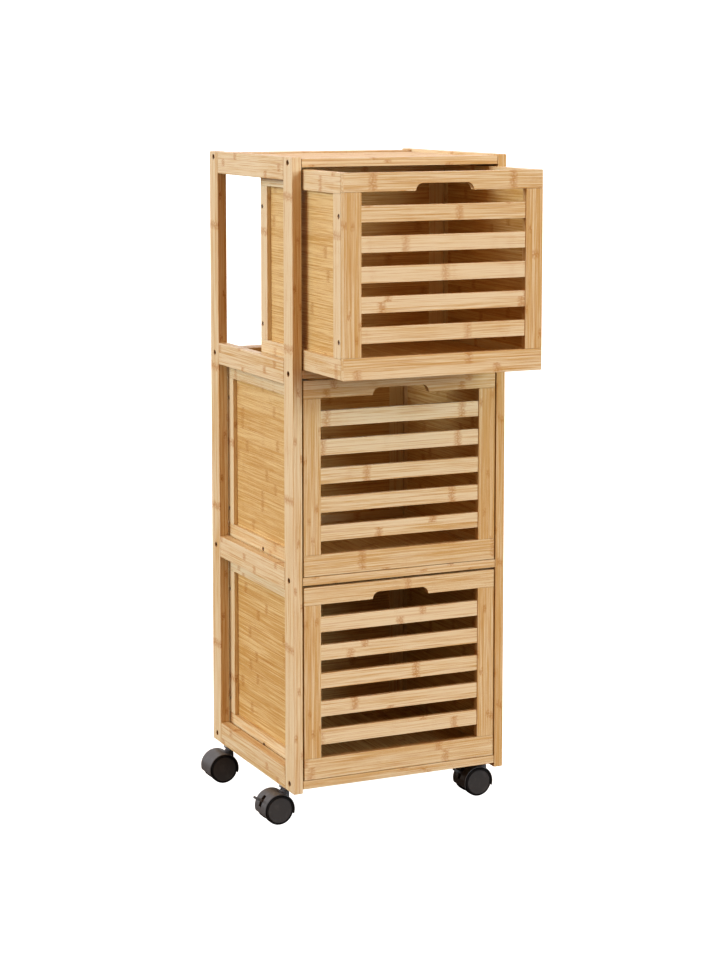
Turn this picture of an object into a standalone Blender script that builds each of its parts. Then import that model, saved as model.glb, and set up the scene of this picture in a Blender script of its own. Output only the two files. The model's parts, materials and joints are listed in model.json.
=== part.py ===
"""Bamboo rolling cart: an open frame on four twin-wheel casters, with three slatted drawers.

The cart is modelled in a cabinet frame: X = 0 in the middle of the cabinet, Y = 0 on the
front face of its posts and Z = 0 at their feet. The empty "cart" carries that frame to where
the middle of the whole cart's base is the world origin. The front faces -Y.
"""

import math

import bmesh
import bpy
from mathutils import Matrix, Vector

MM = 0.001

SIDE_NAMES = {-1: "left", 1: "right"}
LEVEL_NAMES = ("bottom", "lower", "upper", "top")
DRAWERS = ("bottom", "middle", "top")

# Cabinet
CABINET_WIDTH = 330 * MM
CABINET_DEPTH = 311 * MM
POST_THICK = 14 * MM
POST_DEPTH = 32 * MM
SIDE_RAIL_HEIGHT = 32 * MM
CROSS_RAIL_HEIGHT = 12 * MM
CROSS_RAIL_DEPTH = 32 * MM
CROSS_RAIL_FOOT = 6 * MM  # the lowest cross rail's underside above the posts' feet
POST_OVER_CROSS_RAIL = 2 * MM  # how far a post stands above the top cross rail
RUNNER_WIDTH = 16 * MM
TOP_PANEL_THICK = 9 * MM
TOP_PANEL_DROP = 4 * MM  # below the top of the posts
TOP_PANEL_REAR_GAP = 4 * MM
BOLT_HOLE_RADIUS = 4 * MM
BOLT_HOLE_DEPTH = 4 * MM

# Drawers
DRAWER_PULL = (0.0, 0.0, 134 * MM)  # how far each one stands open, from the lowest up
DRAWER_HEIGHT = 274.5 * MM
DRAWER_SIDE_GAP = 2 * MM
DRAWER_REAR_GAP = 25 * MM  # behind a shut drawer
DRAWER_UNDER_GAP = 0.5 * MM
DRAWER_OVER_GAP = 2.8 * MM
DRAWER_WALL = 12 * MM
FRONT_THICK = 10 * MM
FRONT_TOP_RAIL = 25.5 * MM
FRONT_BOTTOM_RAIL = 30 * MM
FRONT_STILE = 26 * MM
SLATS = 5
SLAT_HEIGHT = 22.2 * MM
SLAT_THICK = 7.5 * MM
SLAT_RECESS = 1.5 * MM
TENON = 5 * MM  # how deep a slat or a panel sits in the member that holds it
HAND_HOLD_WIDTH = 87 * MM
HAND_HOLD_DEPTH = 10.5 * MM
WALL_RAIL = 28 * MM
WALL_STILE = 24 * MM
WALL_PANEL = 5.5 * MM
WALL_PANEL_INSET = 0.5 * MM  # behind the inner face of the wall's frame
FLOOR_THICK = 6 * MM
FLOOR_TOP = 15.5 * MM  # above the drawer's underside
SCREW_HOLE_RADIUS = 3.3 * MM
SCREW_HOLE_DEPTH = 2 * MM
SCREW_ABOVE_BOTTOM = 50 * MM
SCREW_BELOW_TOP = 57.5 * MM

# Casters
WHEEL_RADIUS = 20.9 * MM
WHEEL_THICK = 12.2 * MM
WHEEL_EDGE = 2.2 * MM
CASTER_HEIGHT = 51.5 * MM
CASTER_INSETS = {"front": 51.5 * MM, "rear": 45.5 * MM}  # from the posts' faces to the stems
CASTER_TRAIL = 14.8 * MM  # from the stem back to the axle
HOOD_WALL = 1.5 * MM
HOOD_HALF_WIDTH = 19 * MM
HOOD_FRONT_ANGLE = -18
HOOD_BACK_ANGLE = 198
HOOD_STEP_ANGLE = 9
WEB_HALF_WIDTH = 6.5 * MM
STEM_RADIUS = 4 * MM
STEM_IN_RAIL = 20 * MM
STEM_IN_HOOD = 22 * MM  # the stem's lower end, below the posts' feet
COLLAR_RADIUS = 7.6 * MM
COLLAR_HEIGHT = 2.8 * MM
NECK_RADIUS = 5.2 * MM
BOSS_RADIUS = 6.9 * MM
BOSS_TOP = 6.6 * MM  # below the posts' feet
AXLE_RADIUS = 3 * MM
AXLE_HALF_LENGTH = 16.5 * MM
LEVER_REST_ANGLE = 150
LEVER_SWING = 14  # each way from rest
LEVER_LENGTH = 37.5 * MM
LEVER_ROOT_THICK = 4.6 * MM
LEVER_TIP_THICK = 3.2 * MM
LEVER_HUB_RADIUS = 4.8 * MM
LEVER_HALF_WIDTH = 3.6 * MM
ARM_HALF_WIDTH = 3.2 * MM

# Clearances
TOUCH = 0.3 * MM  # between two pieces that are fastened together
RUNNING = 0.3 * MM  # round a pin, an axle or a stem
WHEEL_GAP = 0.8 * MM  # between a wheel and its hood
LEVER_ROOM = 0.6 * MM  # round the brake lever inside its hood
CUT = 10 * MM  # how far a cutter runs past the face that it opens

ROUND_STEPS = 32
HOLE_STEPS = 12
SHARP_ANGLE = 35

# What follows from the sizes above
HALF_WIDTH = CABINET_WIDTH / 2
POST_INNER = HALF_WIDTH - POST_THICK
BAY = DRAWER_UNDER_GAP + DRAWER_HEIGHT + DRAWER_OVER_GAP
LEVEL_PITCH = CROSS_RAIL_HEIGHT + BAY
LOWEST_LEVEL = CROSS_RAIL_FOOT + CROSS_RAIL_HEIGHT / 2
LEVELS = [LOWEST_LEVEL + i * LEVEL_PITCH for i in range(len(LEVEL_NAMES))]  # the cross rails' middles
POST_HEIGHT = LEVELS[-1] + CROSS_RAIL_HEIGHT / 2 + POST_OVER_CROSS_RAIL
DRAWER_WIDTH = 2 * (POST_INNER - DRAWER_SIDE_GAP)
DRAWER_DEPTH = CABINET_DEPTH - DRAWER_REAR_GAP
SCREW_HEIGHTS = (SCREW_ABOVE_BOTTOM, DRAWER_HEIGHT - SCREW_BELOW_TOP)
HOOD_INNER_RADIUS = WHEEL_RADIUS + WHEEL_GAP
HOOD_RADIUS = HOOD_INNER_RADIUS + HOOD_WALL
AXLE_Z = WHEEL_RADIUS - CASTER_HEIGHT
WHEEL_INNER_Y = WEB_HALF_WIDTH + WHEEL_GAP
STEM_X = HALF_WIDTH - POST_THICK / 2
CASTER_YS = {"front": CASTER_INSETS["front"], "rear": CABINET_DEPTH - CASTER_INSETS["rear"]}


def polar(radius, angle):
    """The (x, z) point at a radius and an angle in degrees."""
    return radius * math.cos(math.radians(angle)), radius * math.sin(math.radians(angle))


LEVER_REACH = polar(LEVER_TIP_THICK / 2, LEVER_REST_ANGLE)[1] - polar(LEVER_LENGTH, LEVER_REST_ANGLE)[0]
CART_LEFT = -STEM_X - CASTER_TRAIL - LEVER_REACH
CART_RIGHT = max(HALF_WIDTH, STEM_X - CASTER_TRAIL + HOOD_RADIUS)
CART_FRONT = -max(DRAWER_PULL)


# Making objects
def make_material(name, colour, roughness, metallic=0.0):
    material = bpy.data.materials.new(name)
    material.use_nodes = True
    shader = material.node_tree.nodes["Principled BSDF"]
    shader.inputs["Base Color"].default_value = (*colour, 1)
    shader.inputs["Roughness"].default_value = roughness
    shader.inputs["Metallic"].default_value = metallic
    return material


def make_object(name, shape, parent, material=None):
    """Turns a bmesh into an object in its parent's frame."""
    bmesh.ops.recalc_face_normals(shape, faces=shape.faces)
    mesh = bpy.data.meshes.new(name)
    shape.to_mesh(mesh)
    shape.free()
    made = bpy.data.objects.new(name, mesh)
    bpy.context.scene.collection.objects.link(made)
    made.parent = parent
    if material:
        mesh.materials.append(material)
    return made


def make_empty(name, parent, location):
    empty = bpy.data.objects.new(name, None)
    bpy.context.scene.collection.objects.link(empty)
    empty.parent = parent
    empty.location = location
    return empty


def add_box(shape, low, high):
    size = Vector(high) - Vector(low)
    centre = (Vector(high) + Vector(low)) / 2
    place = Matrix.Translation(centre) @ Matrix.Diagonal((*size, 1))
    bmesh.ops.create_cube(shape, size=1, matrix=place)


def add_cylinder(shape, start, end, radius, steps):
    run = Vector(end) - Vector(start)
    turn = Vector((0, 0, 1)).rotation_difference(run).to_matrix().to_4x4()
    place = Matrix.Translation((Vector(start) + Vector(end)) / 2) @ turn
    bmesh.ops.create_cone(
        shape, cap_ends=True, segments=steps, radius1=radius, radius2=radius, depth=run.length, matrix=place
    )


def add_prism(shape, outline, half_width):
    """Extrudes an outline of (x, z) points along Y, to half_width on each side of Y = 0."""
    corners = [shape.verts.new((x, -half_width, z)) for x, z in outline]
    face = shape.faces.new(corners)
    moved = bmesh.ops.extrude_face_region(shape, geom=[face])["geom"]
    far = [item for item in moved if isinstance(item, bmesh.types.BMVert)]
    bmesh.ops.translate(shape, verts=far, vec=(0, 2 * half_width, 0))


def boolean(target, operation, shape, name):
    """Cuts a shape from the target, or joins the shape to it."""
    tool = make_object(name, shape, target)
    tool.hide_render = True
    tool.display_type = "WIRE"
    modifier = target.modifiers.new(name, "BOOLEAN")
    modifier.operation = operation
    modifier.object = tool


def box_object(name, low, high, parent, material):
    shape = bmesh.new()
    add_box(shape, low, high)
    return make_object(name, shape, parent, material)


def smooth(target):
    target.data.shade_smooth()
    target.data.set_sharp_from_angle(angle=math.radians(SHARP_ANGLE))


# Frame
def make_post(side, end, cart, material):
    outer = side * HALF_WIDTH
    low_y = 0 if end == "front" else CABINET_DEPTH - POST_DEPTH
    xs = sorted((outer, side * POST_INNER))
    name = f"post_{end}_{SIDE_NAMES[side]}"
    post = box_object(name, (xs[0], low_y, 0), (xs[1], low_y + POST_DEPTH, POST_HEIGHT), cart, material)
    holes = bmesh.new()
    for level in LEVELS:
        y = low_y + POST_DEPTH / 2
        start = (outer + side * CUT, y, level)
        add_cylinder(holes, start, (outer - side * BOLT_HOLE_DEPTH, y, level), BOLT_HOLE_RADIUS, HOLE_STEPS)
    boolean(post, "DIFFERENCE", holes, name + "_bolt_holes")


def side_rail_low(index):
    """The underside of a side rail: flush with the posts at both ends, else centred on its level."""
    if index == 0:
        return 0
    if index == len(LEVELS) - 1:
        return POST_HEIGHT - SIDE_RAIL_HEIGHT
    return LEVELS[index] - SIDE_RAIL_HEIGHT / 2


def make_side_rail(side, index, cart, material):
    xs = sorted((side * HALF_WIDTH, side * POST_INNER))
    low = (xs[0], POST_DEPTH + TOUCH, side_rail_low(index))
    high = (xs[1], CABINET_DEPTH - POST_DEPTH - TOUCH, side_rail_low(index) + SIDE_RAIL_HEIGHT)
    name = f"side_rail_{SIDE_NAMES[side]}_{LEVEL_NAMES[index]}"
    rail = box_object(name, low, high, cart, material)
    if index == 0:
        bores = bmesh.new()
        x = side * STEM_X
        for y in CASTER_YS.values():
            top = (x, y, STEM_IN_RAIL + RUNNING)
            add_cylinder(bores, (x, y, -CUT), top, STEM_RADIUS + RUNNING, HOLE_STEPS)
        boolean(rail, "DIFFERENCE", bores, name + "_stem_bores")


def make_cross_rail(end, index, cart, material):
    low_y = 0 if end == "front" else CABINET_DEPTH - CROSS_RAIL_DEPTH
    half = POST_INNER - TOUCH
    low = (-half, low_y, LEVELS[index] - CROSS_RAIL_HEIGHT / 2)
    high = (half, low_y + CROSS_RAIL_DEPTH, LEVELS[index] + CROSS_RAIL_HEIGHT / 2)
    box_object(f"cross_rail_{end}_{LEVEL_NAMES[index]}", low, high, cart, material)


def make_runner(side, index, cart, material):
    """The strip inside a side rail that a drawer slides on."""
    outer = POST_INNER - TOUCH
    xs = sorted((side * outer, side * (outer - RUNNER_WIDTH)))
    low = (xs[0], CROSS_RAIL_DEPTH + TOUCH, LEVELS[index] - CROSS_RAIL_HEIGHT / 2)
    high = (xs[1], CABINET_DEPTH - CROSS_RAIL_DEPTH - TOUCH, LEVELS[index] + CROSS_RAIL_HEIGHT / 2)
    box_object(f"runner_{SIDE_NAMES[side]}_{DRAWERS[index]}", low, high, cart, material)


def make_top_panel(cart, material):
    half = POST_INNER - TOUCH
    top = POST_HEIGHT - TOP_PANEL_DROP
    low = (-half, CROSS_RAIL_DEPTH + TOUCH, top - TOP_PANEL_THICK)
    high = (half, CABINET_DEPTH - CROSS_RAIL_DEPTH - TOP_PANEL_REAR_GAP, top)
    box_object("top_panel", low, high, cart, material)


# Drawers
def hand_hold_outline(edge):
    """The notch in the top rail's lower edge, as (x, z): flat on top, with a round at each side."""
    half = HAND_HOLD_WIDTH / 2
    outline = [(half, edge - CUT / 2)]
    for side, angles in ((1, range(0, 91, 15)), (-1, range(90, -1, -15))):
        for angle in angles:
            x, z = polar(HAND_HOLD_DEPTH, angle)
            outline.append((side * (half - HAND_HOLD_DEPTH + x), edge + z))
    outline.append((-half, edge - CUT / 2))
    return outline


def make_drawer_front(name, drawer, material):
    half = DRAWER_WIDTH / 2
    opening = half - FRONT_STILE
    low_z = FRONT_BOTTOM_RAIL
    high_z = DRAWER_HEIGHT - FRONT_TOP_RAIL
    front = box_object(f"{name}_front", (-half, 0, 0), (half, FRONT_THICK, DRAWER_HEIGHT), drawer, material)
    window = bmesh.new()
    add_box(window, (-opening, -CUT, low_z), (opening, FRONT_THICK + CUT, high_z))
    boolean(front, "DIFFERENCE", window, f"{name}_window")
    slats = bmesh.new()
    gap = (high_z - low_z - SLATS * SLAT_HEIGHT) / (SLATS + 1)
    for i in range(SLATS):
        bottom = low_z + gap + i * (gap + SLAT_HEIGHT)
        start = (-opening - TENON, SLAT_RECESS, bottom)
        add_box(slats, start, (opening + TENON, SLAT_RECESS + SLAT_THICK, bottom + SLAT_HEIGHT))
    boolean(front, "UNION", slats, f"{name}_slats")
    notch = bmesh.new()
    add_prism(notch, hand_hold_outline(high_z), FRONT_THICK + CUT)
    boolean(front, "DIFFERENCE", notch, f"{name}_hand_hold")


def make_drawer_side(name, side, drawer, material):
    """A wall with its frame outside and its panel near the inner face, screwed to its neighbours."""
    outer = side * DRAWER_WIDTH / 2
    inner = outer - side * DRAWER_WALL
    xs = sorted((outer, inner))
    low_y = FRONT_THICK + TOUCH
    wall_name = f"{name}_side_{SIDE_NAMES[side]}"
    wall = box_object(wall_name, (xs[0], low_y, 0), (xs[1], DRAWER_DEPTH, DRAWER_HEIGHT), drawer, material)
    window = bmesh.new()
    low = (xs[0] - CUT, low_y + WALL_STILE, WALL_RAIL)
    add_box(window, low, (xs[1] + CUT, DRAWER_DEPTH - WALL_STILE, DRAWER_HEIGHT - WALL_RAIL))
    boolean(wall, "DIFFERENCE", window, wall_name + "_window")
    panel = bmesh.new()
    panel_xs = sorted((inner + side * WALL_PANEL_INSET, inner + side * (WALL_PANEL_INSET + WALL_PANEL)))
    low = (panel_xs[0], low_y + WALL_STILE - TENON, WALL_RAIL - TENON)
    high_y = DRAWER_DEPTH - WALL_STILE + TENON
    add_box(panel, low, (panel_xs[1], high_y, DRAWER_HEIGHT - WALL_RAIL + TENON))
    boolean(wall, "UNION", panel, wall_name + "_panel")
    holes = bmesh.new()
    ends = (low_y + DRAWER_WALL / 2, DRAWER_DEPTH - DRAWER_WALL / 2)
    screws = [(y, z) for y in ends for z in SCREW_HEIGHTS]
    screws.append(((low_y + DRAWER_DEPTH) / 2, FLOOR_TOP - FLOOR_THICK / 2))
    for y, z in screws:
        start = (outer + side * CUT, y, z)
        add_cylinder(holes, start, (outer - side * SCREW_HOLE_DEPTH, y, z), SCREW_HOLE_RADIUS, HOLE_STEPS)
    boolean(wall, "DIFFERENCE", holes, wall_name + "_screw_holes")


def make_drawer_back(name, drawer, material):
    half = DRAWER_WIDTH / 2 - DRAWER_WALL - TOUCH
    low_y = DRAWER_DEPTH - DRAWER_WALL
    high = (half, DRAWER_DEPTH, DRAWER_HEIGHT)
    back = box_object(f"{name}_back", (-half, low_y, 0), high, drawer, material)
    window = bmesh.new()
    edge = half - WALL_STILE
    low = (-edge, low_y - CUT, WALL_RAIL)
    add_box(window, low, (edge, DRAWER_DEPTH + CUT, DRAWER_HEIGHT - WALL_RAIL))
    boolean(back, "DIFFERENCE", window, f"{name}_back_window")
    panel = bmesh.new()
    low = (-edge - TENON, low_y + WALL_PANEL_INSET, WALL_RAIL - TENON)
    high = (edge + TENON, low[1] + WALL_PANEL, DRAWER_HEIGHT - WALL_RAIL + TENON)
    add_box(panel, low, high)
    boolean(back, "UNION", panel, f"{name}_back_panel")


def make_drawer_floor(name, drawer, material):
    half = DRAWER_WIDTH / 2 - DRAWER_WALL - TOUCH
    low = (-half, FRONT_THICK + TOUCH, FLOOR_TOP - FLOOR_THICK)
    high = (half, DRAWER_DEPTH - DRAWER_WALL - TOUCH, FLOOR_TOP)
    box_object(f"{name}_floor", low, high, drawer, material)


def make_drawer(index, cart, material):
    name = f"drawer_{DRAWERS[index]}"
    bottom = LEVELS[index] + CROSS_RAIL_HEIGHT / 2 + DRAWER_UNDER_GAP
    drawer = make_empty(name, cart, (0, -DRAWER_PULL[index], bottom))
    make_drawer_front(name, drawer, material)
    for side in SIDE_NAMES:
        make_drawer_side(name, side, drawer, material)
    make_drawer_back(name, drawer, material)
    make_drawer_floor(name, drawer, material)


# Casters. A caster's own frame has Z = 0 at the posts' feet on the stem's axis, and its axle
# lies along Y, behind the stem towards -X.
def make_stem(name, swivel, metal):
    shape = bmesh.new()
    add_cylinder(shape, (0, 0, -STEM_IN_HOOD), (0, 0, STEM_IN_RAIL), STEM_RADIUS, HOLE_STEPS)
    stem = make_object(f"{name}_stem", shape, swivel, metal)
    neck = bmesh.new()
    neck_top = (0, 0, -TOUCH - COLLAR_HEIGHT / 2)
    add_cylinder(neck, (0, 0, RUNNING - BOSS_TOP), neck_top, NECK_RADIUS, HOLE_STEPS)
    boolean(stem, "UNION", neck, f"{name}_neck")
    collar = bmesh.new()
    add_cylinder(collar, (0, 0, -TOUCH - COLLAR_HEIGHT), (0, 0, -TOUCH), COLLAR_RADIUS, HOLE_STEPS)
    boolean(stem, "UNION", collar, f"{name}_collar")
    smooth(stem)


def hood_outline():
    angles = range(HOOD_FRONT_ANGLE, HOOD_BACK_ANGLE + 1, HOOD_STEP_ANGLE)
    points = (polar(HOOD_RADIUS, angle) for angle in angles)
    return [(x - CASTER_TRAIL, z + AXLE_Z) for x, z in points]


def lever_pocket_outline():
    """The room round the axle that the lever's hub and arm sweep."""
    room = LEVER_ROOT_THICK / 2 + LEVER_ROOM
    outline = []
    for angle, turn in ((LEVER_REST_ANGLE - LEVER_SWING, -90), (LEVER_REST_ANGLE + LEVER_SWING, 90)):
        along = polar(HOOD_RADIUS + CUT, angle)
        across = polar(room, angle + turn)
        outline.append((along[0] + across[0], along[1] + across[1]))
    start = LEVER_REST_ANGLE + LEVER_SWING + 90
    end = LEVER_REST_ANGLE - LEVER_SWING + 270
    steps = 6
    for i in range(steps + 1):
        outline.append(polar(LEVER_HUB_RADIUS + LEVER_ROOM, start + (end - start) * i / steps))
    return [(x - CASTER_TRAIL, z + AXLE_Z) for x, z in outline]


def make_hood(name, swivel, material, braked):
    shape = bmesh.new()
    add_prism(shape, hood_outline(), HOOD_HALF_WIDTH)
    hood = make_object(f"{name}_hood", shape, swivel, material)
    boss = bmesh.new()
    add_cylinder(boss, (0, 0, AXLE_Z + HOOD_RADIUS / 2), (0, 0, -BOSS_TOP), BOSS_RADIUS, ROUND_STEPS // 2)
    boolean(hood, "UNION", boss, f"{name}_boss")
    chambers = bmesh.new()
    for side in (-1, 1):
        start = (-CASTER_TRAIL, side * WEB_HALF_WIDTH, AXLE_Z)
        end = (-CASTER_TRAIL, side * (HOOD_HALF_WIDTH + CUT), AXLE_Z)
        add_cylinder(chambers, start, end, HOOD_INNER_RADIUS, ROUND_STEPS)
    boolean(hood, "DIFFERENCE", chambers, f"{name}_wheel_chambers")
    if braked:
        pocket = bmesh.new()
        add_prism(pocket, lever_pocket_outline(), LEVER_HALF_WIDTH + RUNNING)
        boolean(hood, "DIFFERENCE", pocket, f"{name}_lever_pocket")
    axle = bmesh.new()
    start = (-CASTER_TRAIL, -AXLE_HALF_LENGTH, AXLE_Z)
    add_cylinder(axle, start, (-CASTER_TRAIL, AXLE_HALF_LENGTH, AXLE_Z), AXLE_RADIUS, HOLE_STEPS)
    boolean(hood, "UNION", axle, f"{name}_axle")
    bore = bmesh.new()
    add_cylinder(bore, (0, 0, -STEM_IN_HOOD - WHEEL_GAP), (0, 0, CUT), STEM_RADIUS + RUNNING, HOLE_STEPS)
    boolean(hood, "DIFFERENCE", bore, f"{name}_stem_bore")
    smooth(hood)


def make_wheel(name, end, swivel, material):
    """A disc with a closed outer face and a blind bore for the axle in its inner face."""
    side = -1 if end == "front" else 1
    hub = make_empty(f"{name}_axle_{end}", swivel, (-CASTER_TRAIL, 0, AXLE_Z))
    shape = bmesh.new()
    outer = side * (WHEEL_INNER_Y + WHEEL_THICK)
    add_cylinder(shape, (0, side * WHEEL_INNER_Y, 0), (0, outer, 0), WHEEL_RADIUS, ROUND_STEPS)
    wheel = make_object(f"{name}_wheel_{end}", shape, hub, material)
    bevel = wheel.modifiers.new("tread_edges", "BEVEL")
    bevel.width = WHEEL_EDGE
    bevel.segments = 1
    bore = bmesh.new()
    depth = side * (AXLE_HALF_LENGTH + RUNNING)
    add_cylinder(bore, (0, 0, 0), (0, depth, 0), AXLE_RADIUS + RUNNING, HOLE_STEPS)
    boolean(wheel, "DIFFERENCE", bore, f"{name}_bore_{end}")
    smooth(wheel)


def make_brake_lever(name, swivel, material):
    """A tab that turns on the axle between the wheels and stands out of a slot in the hood."""
    pivot = make_empty(f"{name}_lever_pivot", swivel, (-CASTER_TRAIL, 0, AXLE_Z))
    arm = []
    ends = ((AXLE_RADIUS, LEVER_ROOT_THICK), (LEVER_LENGTH, LEVER_TIP_THICK))
    for (distance, thick), turn in ((ends[0], -90), (ends[1], -90), (ends[1], 90), (ends[0], 90)):
        along = polar(distance, LEVER_REST_ANGLE)
        across = polar(thick / 2, LEVER_REST_ANGLE + turn)
        arm.append((along[0] + across[0], along[1] + across[1]))
    shape = bmesh.new()
    add_prism(shape, arm, ARM_HALF_WIDTH)
    lever = make_object(f"{name}_brake_lever", shape, pivot, material)
    hub = bmesh.new()
    add_cylinder(hub, (0, -LEVER_HALF_WIDTH, 0), (0, LEVER_HALF_WIDTH, 0), LEVER_HUB_RADIUS, HOLE_STEPS)
    boolean(lever, "UNION", hub, f"{name}_lever_hub")
    bore = bmesh.new()
    add_cylinder(bore, (0, -CUT, 0), (0, CUT, 0), AXLE_RADIUS + RUNNING, HOLE_STEPS)
    boolean(lever, "DIFFERENCE", bore, f"{name}_lever_bore")
    smooth(lever)


def make_caster(side, end, cart, materials):
    name = f"caster_{end}_{SIDE_NAMES[side]}"
    swivel = make_empty(f"{name}_swivel", cart, (side * STEM_X, CASTER_YS[end], 0))
    braked = end == "front"
    make_stem(name, swivel, materials["metal"])
    make_hood(name, swivel, materials["plastic"], braked)
    for wheel_end in ("front", "rear"):
        make_wheel(name, wheel_end, swivel, materials["tyre"])
    if braked:
        make_brake_lever(name, swivel, materials["plastic"])


def main():
    for old in list(bpy.data.objects):
        bpy.data.objects.remove(old)
    bamboo = make_material("bamboo", (0.62, 0.39, 0.18), 0.45)
    materials = {
        "plastic": make_material("black_plastic", (0.03, 0.03, 0.032), 0.5),
        "tyre": make_material("dark_tyre", (0.04, 0.038, 0.036), 0.6),
        "metal": make_material("zinc_steel", (0.6, 0.6, 0.62), 0.3, 1.0),
    }
    middle = (-(CART_LEFT + CART_RIGHT) / 2, -(CART_FRONT + CABINET_DEPTH) / 2, CASTER_HEIGHT)
    cart = make_empty("cart", None, middle)
    for side in SIDE_NAMES:
        for end in CASTER_YS:
            make_post(side, end, cart, bamboo)
            make_caster(side, end, cart, materials)
        for index in range(len(LEVELS)):
            make_side_rail(side, index, cart, bamboo)
        for index in range(len(DRAWERS)):
            make_runner(side, index, cart, bamboo)
    for end in CASTER_YS:
        for index in range(len(LEVELS)):
            make_cross_rail(end, index, cart, bamboo)
    make_top_panel(cart, bamboo)
    for index in range(len(DRAWERS)):
        make_drawer(index, cart, bamboo)


main()
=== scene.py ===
"""Bamboo rolling cart: three slatted drawers in an open frame on four twin-wheel casters.

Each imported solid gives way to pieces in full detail: boards with eased edges and their own grain,
sunk bolts and screws, and moulded casters. Lengths are in metres and angles in degrees.
"""

import json
import logging
import math
import random
from dataclasses import dataclass, field
from enum import Enum

import bmesh
import bpy
from mathutils import Matrix, Vector

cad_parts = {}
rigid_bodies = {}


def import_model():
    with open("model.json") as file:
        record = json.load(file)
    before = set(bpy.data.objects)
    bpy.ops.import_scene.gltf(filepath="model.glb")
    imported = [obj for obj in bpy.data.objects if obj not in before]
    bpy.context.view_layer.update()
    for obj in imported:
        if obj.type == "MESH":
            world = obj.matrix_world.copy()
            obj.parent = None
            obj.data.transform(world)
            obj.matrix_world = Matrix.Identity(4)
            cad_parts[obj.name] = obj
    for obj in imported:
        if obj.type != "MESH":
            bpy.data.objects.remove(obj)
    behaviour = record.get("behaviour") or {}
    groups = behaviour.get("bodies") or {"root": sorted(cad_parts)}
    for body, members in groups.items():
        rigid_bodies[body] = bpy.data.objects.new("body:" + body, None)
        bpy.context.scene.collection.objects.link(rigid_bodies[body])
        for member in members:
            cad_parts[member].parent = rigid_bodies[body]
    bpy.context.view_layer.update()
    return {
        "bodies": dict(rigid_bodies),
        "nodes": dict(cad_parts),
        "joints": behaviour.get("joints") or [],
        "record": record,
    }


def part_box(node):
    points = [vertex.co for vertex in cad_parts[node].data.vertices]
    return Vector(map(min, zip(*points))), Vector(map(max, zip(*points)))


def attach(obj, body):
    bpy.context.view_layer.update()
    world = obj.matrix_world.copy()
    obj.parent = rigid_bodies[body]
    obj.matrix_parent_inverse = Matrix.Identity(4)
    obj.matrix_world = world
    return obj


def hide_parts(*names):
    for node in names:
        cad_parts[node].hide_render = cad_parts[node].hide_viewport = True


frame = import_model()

MM = 0.001
CLEARANCE = 0.3 * MM
FINE_STEPS = 72
ROUND_STEPS = 40
HOLE_STEPS = 24
BOLT_STEPS = 18
SMOOTH_ANGLE = 40.0
MOULDED_ANGLE = 32.0
TONE_SPREAD = 0.16
KNUCKLE_SPACING = 0.21
KNUCKLE_HALF = 8.5 * MM
KNUCKLE_CREASE = 2 * MM
KNUCKLE_SWAY = 8 * MM
FIBRE_SWIRL = 7 * MM
JOINTS = {joint["name"]: joint for joint in frame["joints"]}

log = logging.getLogger("cart")

Colour = tuple[float, float, float]
Profile = list[tuple[float, float]]
Shape = bmesh.types.BMesh
Socket = bpy.types.NodeSocket
Tree = bpy.types.NodeTree
Material = bpy.types.Material


class Axis(Enum):
    """A direction in the cart's frame."""

    X = 0
    Y = 1
    Z = 2


class Side(Enum):
    """The two sides of the cart, as someone facing the drawers sees them."""

    LEFT = "left"
    RIGHT = "right"

    @property
    def sign(self) -> int:
        """The sign of X on this side."""
        return -1 if self is Side.LEFT else 1


class End(Enum):
    """The drawers' end of the cart and the other one."""

    FRONT = "front"
    REAR = "rear"

    @property
    def sign(self) -> int:
        """The sign of Y at this end."""
        return -1 if self is End.FRONT else 1


class Level(Enum):
    """The heights of the rails, from the lowest up."""

    BOTTOM = "bottom"
    LOWER = "lower"
    UPPER = "upper"
    TOP = "top"


class Tier(Enum):
    """The three drawers, from the lowest up."""

    BOTTOM = "bottom"
    MIDDLE = "middle"
    TOP = "top"


# Shader nodes


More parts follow.
